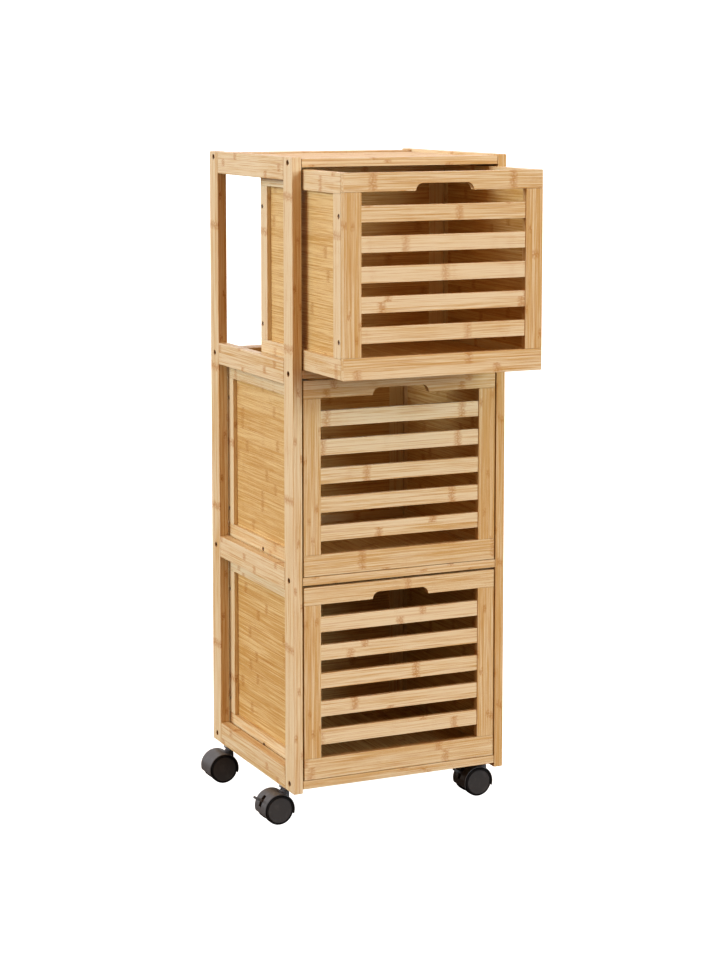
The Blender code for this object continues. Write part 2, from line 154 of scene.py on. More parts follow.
class Graph:
    """Builds nodes in one shader tree and hands back the sockets that carry their results."""

    def __init__(self, tree: Tree) -> None:
        """Keeps the tree that the nodes go into."""
        self.tree = tree

    def node(self, kind: str, inputs: dict, **settings: object) -> bpy.types.Node:
        """Adds a node.

        Args:
            kind: The node's type, without its "ShaderNode".
            inputs: A value or a socket for each input, by its name or number.
            settings: The node's own options, which are set before its inputs.

        Returns:
            The new node.
        """
        made = self.tree.nodes.new("ShaderNode" + kind)
        for key, value in settings.items():
            setattr(made, key, value)
        for key, value in inputs.items():
            if isinstance(value, Socket):
                self.tree.links.new(value, made.inputs[key])
            else:
                made.inputs[key].default_value = value
        return made

    def math(self, operation: str, a: object, b: object = 0.0) -> Socket:
        """The result of one sum on a and b."""
        return self.node("Math", {0: a, 1: b}, operation=operation).outputs[0]

    def add(self, *terms: object) -> Socket:
        """The sum of the terms."""
        total = terms[0]
        for term in terms[1:]:
            total = self.math("ADD", total, term)
        return total

    def times(self, *factors: object) -> Socket:
        """The product of the factors."""
        product = factors[0]
        for factor in factors[1:]:
            product = self.math("MULTIPLY", product, factor)
        return product

    def ramp(
        self, value: object, start: float, end: float, low: float = 0.0, high: float = 1.0
    ) -> Socket:
        """A smooth step from low to high as value goes from start to end."""
        inputs = {"Value": value, "From Min": start, "From Max": end, "To Min": low, "To Max": high}
        return self.node("MapRange", inputs, interpolation_type="SMOOTHSTEP").outputs[0]

    def noise(
        self, place: object, scale: Colour, detail: float = 2.0, roughness: float = 0.5
    ) -> Socket:
        """Noise over a place stretched by scale, in repeats to the metre along each axis."""
        stretched = self.node("VectorMath", {0: place, 1: scale}, operation="MULTIPLY").outputs[0]
        inputs = {"Vector": stretched, "Scale": 1.0, "Detail": detail, "Roughness": roughness}
        return self.node("TexNoise", inputs).outputs[0]

    def join(self, x: object, y: object, z: object) -> Socket:
        """A vector of three numbers."""
        return self.node("CombineXYZ", {0: x, 1: y, 2: z}).outputs[0]

    def split(self, vector: object) -> list[Socket]:
        """The three numbers of a vector."""
        return list(self.node("SeparateXYZ", {0: vector}).outputs)

    def blend(self, share: object, first: object, second: object) -> Socket:
        """A colour between two, by a share from 0 to 1."""
        return self.node("Mix", {0: share, 6: first, 7: second}, data_type="RGBA").outputs[2]


def new_group(name: str, takes: dict[str, str], gives: dict[str, str]) -> tuple[Graph, dict, dict]:
    """Starts a node group.

    Args:
        name: The group's name.
        takes: The type of each input, by its name.
        gives: The type of each output, by its name.

    Returns:
        The graph to build in, the group's inputs and its outputs, both as sockets by name.
    """
    tree = bpy.data.node_groups.new(name, "ShaderNodeTree")
    for in_out, sockets in (("INPUT", takes), ("OUTPUT", gives)):
        for title, kind in sockets.items():
            tree.interface.new_socket(title, in_out=in_out, socket_type="NodeSocket" + kind)
    entry = tree.nodes.new("NodeGroupInput")
    leave = tree.nodes.new("NodeGroupOutput")
    return Graph(tree), dict(entry.outputs.items()), dict(leave.inputs.items())


def bamboo_group() -> Tree:
    """Bamboo laid up in strips, with fibres along each strip and a knuckle now and then.

    Place is a point on the board: along the grain, across its strips and through it. Board holds
    the board's own number from 0 to 1, the width of its strips and its tone, from about 0 for
    pale to 1 for honey.
    """
    takes = {"Place": "Vector", "Board": "Vector", "Pale": "Color", "Honey": "Color", "Mark": "Color",
             "Fibres": "Float", "Strips": "Float", "Knuckles": "Float"}
    graph, given, result = new_group(
        "bamboo", takes, {"Color": "Color", "Roughness": "Float", "Height": "Float"}
    )
    along, across, through = graph.split(given["Place"])
    number, strip, tone = graph.split(given["Board"])
    count = graph.math("DIVIDE", across, strip)
    dice = graph.join(graph.math("FLOOR", count), graph.times(number, 97.3), 0.5)
    chance = graph.split(graph.node("TexWhiteNoise", {"Vector": dice}, noise_dimensions="3D").outputs[1])
    run = graph.add(along, graph.times(number, 23.0), graph.times(chance[0], 9.0))
    spot = graph.join(run, across, through)

    # Knuckles, at one place in each spacing along a strip
    phase = graph.math("FRACT", graph.math("DIVIDE", run, KNUCKLE_SPACING))
    off = graph.times(graph.math("SUBTRACT", phase, 0.5), KNUCKLE_SPACING)
    sway = graph.math("SUBTRACT", graph.noise(spot, (25.0, 170.0, 170.0)), 0.5)
    away = graph.math("ABSOLUTE", graph.add(off, graph.times(sway, KNUCKLE_SWAY)))
    band = graph.ramp(away, KNUCKLE_HALF, 3 * MM)
    crease = graph.ramp(away, KNUCKLE_CREASE, 0.6 * MM)
    speckle = graph.ramp(graph.noise(spot, (260.0, 520.0, 520.0), 2.0), 0.42, 0.56)
    stain = graph.times(band, graph.add(graph.times(speckle, 0.55), 0.22))
    knuckle = graph.times(graph.math("MAXIMUM", stain, graph.times(crease, 0.8)), given["Knuckles"])

    # Fibres, which swirl a little at a knuckle
    swirl = graph.math("SUBTRACT", graph.noise(spot, (120.0, 120.0, 120.0)), 0.5)
    bent = graph.add(across, graph.times(swirl, band, FIBRE_SWIRL))
    fibre_spot = graph.join(run, bent, through)
    fine = graph.ramp(graph.noise(fibre_spot, (16.0, 1000.0, 1000.0), 2.0, 0.6), 0.33, 0.67)
    streak = graph.ramp(graph.noise(fibre_spot, (6.0, 430.0, 430.0), 1.0), 0.34, 0.66)
    cloud = graph.ramp(graph.noise(fibre_spot, (3.5, 75.0, 75.0), 1.0), 0.3, 0.7)
    vein = graph.ramp(graph.noise(fibre_spot, (9.0, 700.0, 700.0), 1.0), 0.58, 0.70)

    # Glue lines between strips
    edge = graph.math("PINGPONG", count, 0.5)
    seam = graph.ramp(graph.times(edge, strip), 0.7 * MM, 0.1 * MM)

    # How honey-coloured the wood is, then the knuckles, veins and glue lines over it
    depth = graph.add(
        tone,
        graph.times(graph.math("SUBTRACT", fine, 0.5), given["Fibres"]),
        graph.times(graph.math("SUBTRACT", streak, 0.5), given["Fibres"], 0.85),
        graph.times(graph.math("SUBTRACT", cloud, 0.5), 0.35),
        graph.times(graph.math("SUBTRACT", chance[2], 0.5), given["Strips"]),
    )
    depth = graph.ramp(depth, -0.15, 1.15)
    wood = graph.blend(depth, given["Pale"], given["Honey"])
    marks = graph.math("MAXIMUM", graph.times(knuckle, 0.8), graph.times(vein, given["Fibres"], 0.5))
    marks = graph.math("MAXIMUM", marks, graph.times(seam, given["Strips"], 0.6))
    links = graph.tree.links
    links.new(graph.blend(marks, wood, given["Mark"]), result["Color"])
    links.new(graph.add(graph.times(fine, 0.16), graph.times(marks, 0.12), 0.34), result["Roughness"])
    relief = graph.add(graph.times(fine, 0.5), graph.times(streak, 0.3), graph.times(marks, -0.6))
    links.new(relief, result["Height"])
    return graph.tree


def moulding_group() -> Tree:
    """The fine spark texture of moulded plastic, with faint rubs and scratches."""
    takes = {"Grain Size": "Float", "Colour": "Color", "Rubbed": "Color", "Gloss": "Float"}
    graph, given, result = new_group(
        "moulding", takes, {"Color": "Color", "Roughness": "Float", "Height": "Float"}
    )
    place = graph.node("TexCoord", {}).outputs["Object"]
    pitch = graph.node("VectorMath", {0: place, 3: given["Grain Size"]}, operation="SCALE").outputs[0]
    spark = graph.noise(pitch, (1.0, 1.0, 1.0), 2.0)
    rub = graph.ramp(graph.noise(place, (90.0, 90.0, 60.0), 4.0, 0.65), 0.50, 0.72)
    scratch = graph.ramp(graph.noise(place, (60.0, 900.0, 120.0), 2.0), 0.62, 0.72)
    worn = graph.math("MAXIMUM", graph.times(rub, 0.6), graph.times(scratch, 0.35))
    links = graph.tree.links
    links.new(graph.blend(worn, given["Colour"], given["Rubbed"]), result["Color"])
    rough = graph.add(given["Gloss"], graph.times(spark, 0.12), graph.times(worn, 0.1))
    links.new(rough, result["Roughness"])
    links.new(graph.add(graph.times(spark, 0.8), graph.times(scratch, -0.3)), result["Height"])
    return graph.tree


# Finishes


@dataclass(frozen=True)
class Bamboo:
    """Bamboo under a thin satin lacquer."""

    name: str
    pale: Colour
    honey: Colour
    mark: Colour
    fibres: float
    strips: float
    knuckles: float
    coat: float
    relief: float

    def material(self, group: Tree) -> Material:
        """Makes the material, with the bamboo group behind its shader."""
        graph, shader = new_material(self.name)
        place = graph.node("Attribute", {}, attribute_name="grain_place").outputs["Vector"]
        board = graph.node("Attribute", {}, attribute_name="grain_board").outputs["Vector"]
        inputs = {"Place": place, "Board": board, "Pale": (*self.pale, 1.0), "Honey": (*self.honey, 1.0),
                  "Mark": (*self.mark, 1.0), "Fibres": self.fibres, "Strips": self.strips,
                  "Knuckles": self.knuckles}
        dress(graph, shader, graph.node("Group", inputs, node_tree=group), self.relief)
        shader.inputs["Coat Weight"].default_value = self.coat
        shader.inputs["Coat Roughness"].default_value = 0.3
        return bpy.data.materials[self.name]


@dataclass(frozen=True)
class Moulding:
    """Moulded plastic or plated steel, with a fine texture and rubbed places."""

    name: str
    colour: Colour
    rubbed: Colour
    gloss: float
    texture: float
    relief: float
    metallic: float = 0.0

    def material(self, group: Tree) -> Material:
        """Makes the material, with the moulding group behind its shader."""
        graph, shader = new_material(self.name)
        inputs = {"Grain Size": self.texture, "Colour": (*self.colour, 1.0),
                  "Rubbed": (*self.rubbed, 1.0), "Gloss": self.gloss}
        dress(graph, shader, graph.node("Group", inputs, node_tree=group), self.relief)
        shader.inputs["Metallic"].default_value = self.metallic
        return bpy.data.materials[self.name]


def new_material(name: str) -> tuple[Graph, bpy.types.Node]:
    """Starts a material and gives its graph and its shader."""
    material = bpy.data.materials.new(name)
    material.use_nodes = True
    return Graph(material.node_tree), material.node_tree.nodes["Principled BSDF"]


def dress(graph: Graph, shader: bpy.types.Node, surface: bpy.types.Node, relief: float) -> None:
    """Links a surface group's colour, roughness and height to a shader.

    Args:
        graph: The material's graph.
        shader: Its Principled shader.
        surface: The group's node.
        relief: How deep the height goes.
    """
    graph.tree.links.new(surface.outputs["Color"], shader.inputs["Base Color"])
    graph.tree.links.new(surface.outputs["Roughness"], shader.inputs["Roughness"])
    bump = graph.node("Bump", {"Height": surface.outputs["Height"], "Distance": relief, "Strength": 1.0})
    graph.tree.links.new(bump.outputs[0], shader.inputs["Normal"])


FRAME_BAMBOO = Bamboo(
    "lacquered_bamboo", (0.785, 0.72, 0.55), (0.615, 0.445, 0.215), (0.46, 0.225, 0.062), 0.9, 0.45, 0.9,
    0.12, 0.12 * MM
)
PANEL_BAMBOO = Bamboo(
    "panel_bamboo", (0.78, 0.655, 0.40), (0.585, 0.40, 0.165), (0.42, 0.205, 0.055), 1.0, 0.50, 0.85,
    0.04, 0.18 * MM
)
HOOD_PLASTIC = Moulding(
    "hood_plastic", (0.120, 0.130, 0.146), (0.21, 0.225, 0.245), 0.30, 1500.0, 0.05 * MM
)
WHEEL_PLASTIC = Moulding(
    "wheel_plastic", (0.078, 0.082, 0.088), (0.12, 0.124, 0.131), 0.62, 1200.0, 0.06 * MM
)
TYRE_PLASTIC = Moulding(
    "tyre_plastic", (0.016, 0.016, 0.017), (0.040, 0.040, 0.042), 0.50, 1200.0, 0.05 * MM
)
ZINC = Moulding("zinc_plate", (0.62, 0.63, 0.65), (0.40, 0.40, 0.41), 0.22, 900.0, 0.02 * MM, 1.0)
BRONZED = Moulding("bronzed_steel", (0.075, 0.045, 0.03), (0.45, 0.36, 0.28), 0.28, 900.0, 0.02 * MM, 1.0)


@dataclass
class Finishes:
    """Every material of the cart, made once."""

    frame: Material
    panel: Material
    hood: Material
    wheel: Material
    tyre: Material
    zinc: Material
    bronzed: Material

    @classmethod
    def make(cls) -> "Finishes":
        """Builds the node groups and the materials that use them."""
        bamboo = bamboo_group()
        moulding = moulding_group()
        bamboos = [finish.material(bamboo) for finish in (FRAME_BAMBOO, PANEL_BAMBOO)]
        moulded = (HOOD_PLASTIC, WHEEL_PLASTIC, TYRE_PLASTIC, ZINC, BRONZED)
        return cls(*bamboos, *(finish.material(moulding) for finish in moulded))


# Shapes


def block(low: Vector, high: Vector, ease: float = 0.0) -> Shape:
    """Makes a box from one corner to the other.

    Args:
        low: Its lowest corner.
        high: Its highest corner.
        ease: The radius of its edges.

    Returns:
        The box's mesh.
    """
    shape = bmesh.new()
    place = Matrix.Translation((low + high) / 2) @ Matrix.Diagonal((*(high - low), 1))
    bmesh.ops.create_cube(shape, size=1, matrix=place)
    if ease:
        edges = list(shape.edges)
        bmesh.ops.bevel(
            shape, geom=edges, offset=ease, segments=2, profile=0.6, affect="EDGES", clamp_overlap=True
        )
    return shape


def turned(profile: Profile, place: Matrix, steps: int) -> Shape:
    """Makes a turned solid.

    Args:
        profile: (radius, height) points; the first and the last lie on the axis.
        place: Where the axis, local Z, stands.
        steps: Points round the solid.

    Returns:
        The solid's mesh.
    """
    shape = bmesh.new()
    rings = []
    for radius, height in profile:
        if radius < 1e-7:
            rings.append([shape.verts.new(place @ Vector((0, 0, height)))])
            continue
        turns = [2 * math.pi * step / steps for step in range(steps)]
        points = [Vector((radius * math.cos(turn), radius * math.sin(turn), height)) for turn in turns]
        rings.append([shape.verts.new(place @ point) for point in points])
    for ring, following in zip(rings, rings[1:]):
        for step in range(steps):
            after = (step + 1) % steps
            corners = [ring[step % len(ring)], ring[after % len(ring)]]
            corners += [following[after % len(following)], following[step % len(following)]]
            shape.faces.new(list(dict.fromkeys(corners)))
    return shape


def prism(outline: list[Vector], start: Vector, run: Vector) -> Shape:
    """Makes a solid from an outline swept along a straight run.

    Args:
        outline: The points of one end.
        start: How far that end is moved first.
        run: How far the other end lies from it.

    Returns:
        The solid's mesh.
    """
    shape = bmesh.new()
    face = shape.faces.new([shape.verts.new(point + start) for point in outline])
    moved = bmesh.ops.extrude_face_region(shape, geom=[face])["geom"]
    far = [item for item in moved if isinstance(item, bmesh.types.BMVert)]
    bmesh.ops.translate(shape, verts=far, vec=run)
    return shape


def lofted(rings: list[list[Vector]]) -> Shape:
    """Makes a solid skinned over rings of equally many points.

    Args:
        rings: The points of each ring, from one end to the other.

    Returns:
        The solid's mesh.
    """
    shape = bmesh.new()
    made = [[shape.verts.new(point) for point in ring] for ring in rings]
    for ring, following in zip(made, made[1:]):
        for index in range(len(ring)):
            after = (index + 1) % len(ring)
            shape.faces.new((ring[index], ring[after], following[after], following[index]))
    shape.faces.new(made[0])
    shape.faces.new(made[-1])
    return shape


def arc(centre: Vector, radius: float, start: float, end: float, steps: int) -> list[Vector]:
    """Points on an arc in the XZ plane about a centre, from one angle to another."""
    angles = [math.radians(start + (end - start) * step / steps) for step in range(steps + 1)]
    return [centre + radius * Vector((math.cos(angle), 0, math.sin(angle))) for angle in angles]


def mesh_of(shape: Shape, name: str) -> bpy.types.Mesh:
    """Turns a shape, which is used up, into a named mesh."""
    mesh = bpy.data.meshes.new(name)
    shape.to_mesh(mesh)
    shape.free()
    return mesh


def combine(target: Shape, tool: Shape, operation: str) -> Shape:
    """Cuts a tool from a solid or joins it on.

    Args:
        target: The solid, which is used up.
        tool: The tool, which is used up.
        operation: DIFFERENCE or UNION.

    Returns:
        The new solid.
    """
    objects = []
    for shape in (target, tool):
        bmesh.ops.recalc_face_normals(shape, faces=shape.faces)
        objects.append(bpy.data.objects.new("blank", mesh_of(shape, "blank")))
        bpy.context.scene.collection.objects.link(objects[-1])
    modifier = objects[0].modifiers.new("cut", "BOOLEAN")
    modifier.operation = operation
    modifier.object = objects[1]
    graph = bpy.context.evaluated_depsgraph_get()
    result = bmesh.new()
    result.from_mesh(objects[0].evaluated_get(graph).to_mesh())
    for thing in objects:
        mesh = thing.data
        bpy.data.objects.remove(thing)
        bpy.data.meshes.remove(mesh)
    return result


def make_piece(
    name: str,
    shape: Shape,
    material: Material,
    body: str,
    nodes: tuple[str, ...] = (),
    sharp: float = SMOOTH_ANGLE,
) -> None:
    """Turns a shape into a finished piece of the cart.

    Args:
        name: The piece's name.
        shape: Its mesh, which is used up.
        material: What it is made of.
        body: The body that it rides on.
        nodes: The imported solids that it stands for.
        sharp: Edges over this angle stay sharp.
    """
    bmesh.ops.recalc_face_normals(shape, faces=shape.faces)
    mesh = mesh_of(shape, name)
    mesh.materials.append(material)
    mesh.shade_smooth()
    mesh.set_sharp_from_angle(angle=math.radians(sharp))
    piece = bpy.data.objects.new(name, mesh)
    bpy.context.scene.collection.objects.link(piece)
    weighted = piece.modifiers.new("flat_faces", "WEIGHTED_NORMAL")
    weighted.keep_sharp = True
    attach(piece, body)
    if nodes:
        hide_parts(*nodes)
    log.info("%s: %d faces, on %s", name, len(mesh.polygons), body)


# Boards


@dataclass
class Hole:
    """A round hole sunk into a board's side face, with a bolt or a screw in it."""

    start: Vector
    depth: float
    radius: float
    side: Side

    def cutter(self) -> Shape:
        """The solid that leaves the hole."""
        place = Matrix.Translation(self.start) @ Matrix.Rotation(math.radians(90), 4, "Y")
        inward = -self.side.sign
        edge, bottom = -inward * self.radius, inward * self.depth
        profile = [(0, edge), (self.radius, edge), (self.radius, bottom), (0, bottom)]
        return turned(profile, place, HOLE_STEPS)

    def stand(self) -> Matrix:
        """Where the fastener stands, with local Z pointing out of the hole."""
        turn = Matrix.Rotation(math.radians(90 * self.side.sign), 4, "Y")
        return Matrix.Translation(self.start) @ turn

    def bolt(self, sunk: float) -> Shape:
        """Makes a bolt head with a round socket, as far below the face as sunk."""
        rim, socket, foot = self.radius - 0.15 * MM, 0.55 * self.radius, -self.depth
        profile = [(0, foot), (rim, foot), (rim, -sunk - 0.3 * MM), (rim - 0.3 * MM, -sunk)]
        profile += [(socket + 0.25 * MM, -sunk), (socket, -sunk - 0.25 * MM)]
        profile += [(socket, foot + 0.5 * MM), (0, foot + 0.5 * MM)]
        return turned(profile, self.stand(), BOLT_STEPS)

    def screw(self) -> Shape:
        """Makes a countersunk screw head with a cross recess."""
        rim, head, foot = self.radius - 0.1 * MM, 0.55 * self.depth, -self.depth
        arm, half, floor = 0.62 * self.radius, 0.13 * self.radius, foot * 0.95
        profile = [(0, foot), (rim, foot), (rim, -head - 0.2 * MM), (rim - 0.2 * MM, -head)]
        disc = turned([*profile, (0, -head)], Matrix.Identity(4), HOLE_STEPS)
        for x, y in ((arm, half), (half, arm)):
            tool = block(Vector((-x, -y, floor)), Vector((x, y, self.depth)))
            disc = combine(disc, tool, "DIFFERENCE")
        disc.transform(self.stand())
        return disc


@dataclass
class Board:
    """One straight board with eased edges, which carries its own grain."""

    name: str
    low: Vector
    high: Vector
    grain: Axis
    laid: Axis
    strip: float
    tone: float = 0.5
    ease: float = 1.0 * MM
    holes: list[Hole] = field(default_factory=list)

    def mark_grain(self, shape: Shape) -> None:
        """Writes each point's place in the grain, and the board's number, strips and tone."""
        draw = random.Random(self.name)
        number = draw.random()
        tone = self.tone + draw.uniform(-TONE_SPREAD, TONE_SPREAD)
        slip = draw.uniform(0.0, self.strip)
        rest = Axis(3 - self.grain.value - self.laid.value)
        place = shape.verts.layers.float_vector.new("grain_place")
        board = shape.verts.layers.float_vector.new("grain_board")
        for vert in shape.verts:
            point = vert.co - self.low
            across = point[self.laid.value] + slip
            vert[place] = Vector((point[self.grain.value], across, point[rest.value]))
            vert[board] = Vector((number, self.strip, tone))

    def shape(self, cutters: tuple[Shape, ...] = ()) -> Shape:
        """Saws, eases and drills the board.

        Args:
            cutters: More solids to cut from it, which are used up.

        Returns:
            The board's mesh, with its grain.
        """
        shape = block(self.low, self.high, self.ease)
        for cutter in (*(hole.cutter() for hole in self.holes), *cutters):
            shape = combine(shape, cutter, "DIFFERENCE")
        self.mark_grain(shape)
        return shape


def joined(shapes: list[Shape]) -> Shape:
    """One mesh of several, which are used up."""
    whole = shapes[0]
    for shape in shapes[1:]:
        mesh = mesh_of(shape, "joined")
        whole.from_mesh(mesh)
        bpy.data.meshes.remove(mesh)
    return whole


# Frame


@dataclass
class Frame:
    """The posts, rails, runners and top panel, with the bolts that hold them."""

    finishes: Finishes
    post_ease: float = 1.6 * MM
    rail_ease: float = 1.2 * MM
    strip_ease: float = 1.0 * MM
    lamella: float = 4.8 * MM
    wide_strip: float = 33 * MM
    panel_strip: float = 16 * MM
    bar_strip: float = 11 * MM
    bolt_depth: float = 4 * MM
    bolt_radius: float = 4 * MM
    bolt_sunk: float = 1.7 * MM
    left_tone: float = 0.38
    right_tone: float = 0.75
    side_tone: float = 0.2
    cross_tone: float = 0.45
    runner_tone: float = 0.6
    lid_tone: float = 0.35

    def post(self, side: Side, end: End) -> None:
        """Makes one post, with a bolt through its outer face into each cross rail."""
        at = f"{end.value}_{side.value}"
        low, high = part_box(f"post_{at}")
        outer = low.x if side is Side.LEFT else high.x
        holes = []
        for level in Level:
            rail_low, rail_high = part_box(f"cross_rail_{end.value}_{level.value}")
            place = Vector((outer, (low.y + high.y) / 2, (rail_low.z + rail_high.z) / 2))
            holes.append(Hole(place, self.bolt_depth, self.bolt_radius, side))
        name = f"upright_{at}"
        tone = self.left_tone if side is Side.LEFT else self.right_tone
        board = Board(name, low, high, Axis.Z, Axis.X, self.lamella, tone, self.post_ease, holes)
        make_piece(name, board.shape(), self.finishes.frame, "cabinet", (f"post_{at}",))
        bolts = joined([hole.bolt(self.bolt_sunk) for hole in holes])
        make_piece(f"bolts_{at}", bolts, self.finishes.bronzed, "cabinet")

    def bar(
        self, name: str, node: str, grain: Axis, laid: Axis, strip: float, tone: float, ease: float
    ) -> None:
        """Makes one straight board that stands for a node."""
        board = Board(name, *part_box(node), grain, laid, strip, tone, ease)
        make_piece(name, board.shape(), self.finishes.frame, "cabinet", (node,))

    def build(self) -> None:
        """Makes the posts, side rails, runners, cross rails and the panel let in at the top."""
        side_bar = (Axis.Y, Axis.Z, self.bar_strip, self.side_tone, self.rail_ease)
        cross_bar = (Axis.X, Axis.Z, self.lamella, self.cross_tone, self.rail_ease)
        runner = (Axis.Y, Axis.X, self.wide_strip, self.runner_tone, self.strip_ease)
        for side in Side:
            for end in End:
                self.post(side, end)
            for level in Level:
                at = f"{side.value}_{level.value}"
                self.bar(f"side_bar_{at}", f"side_rail_{at}", *side_bar)
            for tier in Tier:
                at = f"{side.value}_{tier.value}"
                self.bar(f"slide_strip_{at}", f"runner_{at}", *runner)
        for end in End:
            for level in Level:
                at = f"{end.value}_{level.value}"
                self.bar(f"cross_bar_{at}", f"cross_rail_{at}", *cross_bar)
        lid = Board("lid_panel", *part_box("top_panel"), Axis.X, Axis.Y, self.panel_strip, self.lid_tone)
        make_piece("lid_panel", lid.shape(), self.finishes.panel, "cabinet", ("top_panel",))


# Drawers


@dataclass
class Drawer:
    """One drawer: a slatted front, three framed walls, a floor and their screws."""

    finishes: Finishes
    tier: Tier
    top_rail: float = 25.5 * MM
    bottom_rail: float = 30 * MM
    stile: float = 26 * MM
    slats: int = 5
    slat_height: float = 22.2 * MM
    slat_thick: float = 7.5 * MM
    slat_recess: float = 1.5 * MM
    tenon: float = 3 * MM
    hold_width: float = 87 * MM
    hold_depth: float = 10.5 * MM
    wall_rail: float = 28 * MM
    wall_stile: float = 24 * MM
    panel_thick: float = 5.5 * MM
    panel_inset: float = 0.5 * MM
    board_ease: float = 0.9 * MM
    stile_strip: float = 5.6 * MM
    wide_strip: float = 31 * MM
    panel_strip: float = 16 * MM
    floor_boards: int = 3
    floor_gap: float = 0.5 * MM
    floor_ease: float = 0.4 * MM
    screw_depth: float = 2 * MM
    screw_radius: float = 3.3 * MM
    screw_up: float = 50 * MM
    screw_down: float = 57.5 * MM
    rail_tone: float = 0.45
    sill_tone: float = 0.5
    stile_tone: float = 0.72
    slat_tone: float = 0.08
    # The wall frames are set paler than the other boards. This is partly their own pale tone and partly
    # painted sheen: the side light's brightness on them is put into their colour.
    wall_rail_tone: float = 0.15
    wall_stile_tone: float = -0.2
    panel_tone: float = 0.5
    panel_ease: float = 0.3 * MM

    @property
    def name(self) -> str:
        """The drawer's body, and the start of its nodes' names."""
        return f"drawer_{self.tier.value}"

    def piece(self, part: str, shape: Shape, material: Material, node: str) -> None:
        """Makes a bamboo piece that rides on the drawer and stands for one of its nodes."""
        title = f"{self.name}_{part}"
        make_piece(title, shape, material, self.name, (f"{self.name}_{node}",))

    def board(self, title: str, low: Vector, high: Vector, grain: Axis, laid: Axis, tone: float) -> Board:
        """Makes a frame board, of narrow strips if it is upright and of a wide one if not."""
        strip = self.stile_strip if grain is Axis.Z else self.wide_strip
        return Board(f"{self.name}_{title}", low, high, grain, laid, strip, tone, self.board_ease)

    def hand_hold(self, low: Vector, high: Vector) -> Shape:
        """The cutter for the notch in the top rail's lower edge, flat on top with a round at each side."""
        middle = (low.x + high.x) / 2
        base = high.z - self.top_rail
        run_past = 10 * MM
        half = self.hold_width / 2
        centre = half - self.hold_depth
        outline = [Vector((middle + half, 0, base - run_past))]
        outline += arc(Vector((middle + centre, 0, base)), self.hold_depth, 0, 90, 10)
        outline += arc(Vector((middle - centre, 0, base)), self.hold_depth, 90, 180, 10)
        outline.append(Vector((middle - half, 0, base - run_past)))
        start = Vector((0, low.y - run_past, 0))
        return prism(outline, start, Vector((0, high.y - low.y + 2 * run_past, 0)))

    def front(self) -> None:
        """Makes the front's rails, stiles and slats."""
        low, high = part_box(f"{self.name}_front")
        head, sill = high.z - self.top_rail, low.z + self.bottom_rail
        frame = self.finishes.frame
        corner = Vector((low.x, low.y, head))
        rail = self.board("top_rail", corner, high, Axis.X, Axis.Z, self.rail_tone)
        self.piece("front_rail_upper", rail.shape((self.hand_hold(low, high),)), frame, "front")
        corner = Vector((high.x, high.y, sill))
        rail = self.board("bottom_rail", low, corner, Axis.X, Axis.Z, self.sill_tone)
        self.piece("front_rail_lower", rail.shape(), frame, "front")
        for side in Side:
            edge = low.x if side is Side.LEFT else high.x - self.stile
            start, end = Vector((edge, low.y, sill)), Vector((edge + self.stile, high.y, head))
            title = f"stile_{side.value}"
            stile = self.board(title, start, end, Axis.Z, Axis.X, self.stile_tone)
            self.piece(f"front_{title}", stile.shape(), frame, "front")
        gap = (head - sill - self.slats * self.slat_height) / (self.slats + 1)
        left = low.x + self.stile - self.tenon
        right = high.x - self.stile + self.tenon
        for index in range(self.slats):
            foot = sill + gap + index * (gap + self.slat_height)
            start = Vector((left, low.y + self.slat_recess, foot))
            end = Vector((right, start.y + self.slat_thick, foot + self.slat_height))
            slat = self.board(f"slat_{index}", start, end, Axis.X, Axis.Z, self.slat_tone)
            self.piece(f"front_slat_{index + 1}", slat.shape(), frame, "front")

    def framed_wall(
        self, part: str, node: str, run: Axis, panel_low: Vector, panel_high: Vector, holes: list[Hole]
    ) -> None:
        """Makes a wall's frame of two rails and two stiles, and its panel.

        Args:
            part: What the wall is called in the pieces' names.
            node: The node that it stands for.
            run: The direction that its rails run in.
            panel_low: The panel's lowest corner.
            panel_high: The panel's highest corner.
            holes: The screw holes in its frame.
        """
        low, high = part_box(f"{self.name}_{node}")
        along = run.value
        across = Axis.Y if run is Axis.X else Axis.X
        foot, head = low.z + self.wall_rail, high.z - self.wall_rail
        boards = []
        for rail, (start_z, end_z) in enumerate(((low.z, foot), (head, high.z))):
            start, end = low.copy(), high.copy()
            start.z, end.z = start_z, end_z
            title = f"{part}_rail_{rail}"
            boards.append(self.board(title, start, end, run, Axis.Z, self.wall_rail_tone))
        for stile in range(2):
            start, end = low.copy(), high.copy()
            start.z, end.z = foot, head
            if stile:
                start[along] = high[along] - self.wall_stile
            else:
                end[along] = low[along] + self.wall_stile
            title = f"{part}_stile_{stile}"
            boards.append(self.board(title, start, end, Axis.Z, across, self.wall_stile_tone))
        for board in boards:
            board.holes = [hole for hole in holes if self.drilled(hole, board)]
        shapes = [board.shape() for board in boards]
        self.piece(f"{part}_frame", joined(shapes), self.finishes.frame, node)
        panel = Board(
            f"{self.name}_{part}_panel", panel_low, panel_high, run, Axis.Z, self.panel_strip,
            self.panel_tone, self.panel_ease
        )
        self.piece(f"{part}_panel", panel.shape(), self.finishes.panel, node)

    def drilled(self, hole: Hole, board: Board) -> bool:
        """True if a hole starts on a board."""
        inside = board.low.y < hole.start.y < board.high.y
        return inside and board.low.z < hole.start.z < board.high.z

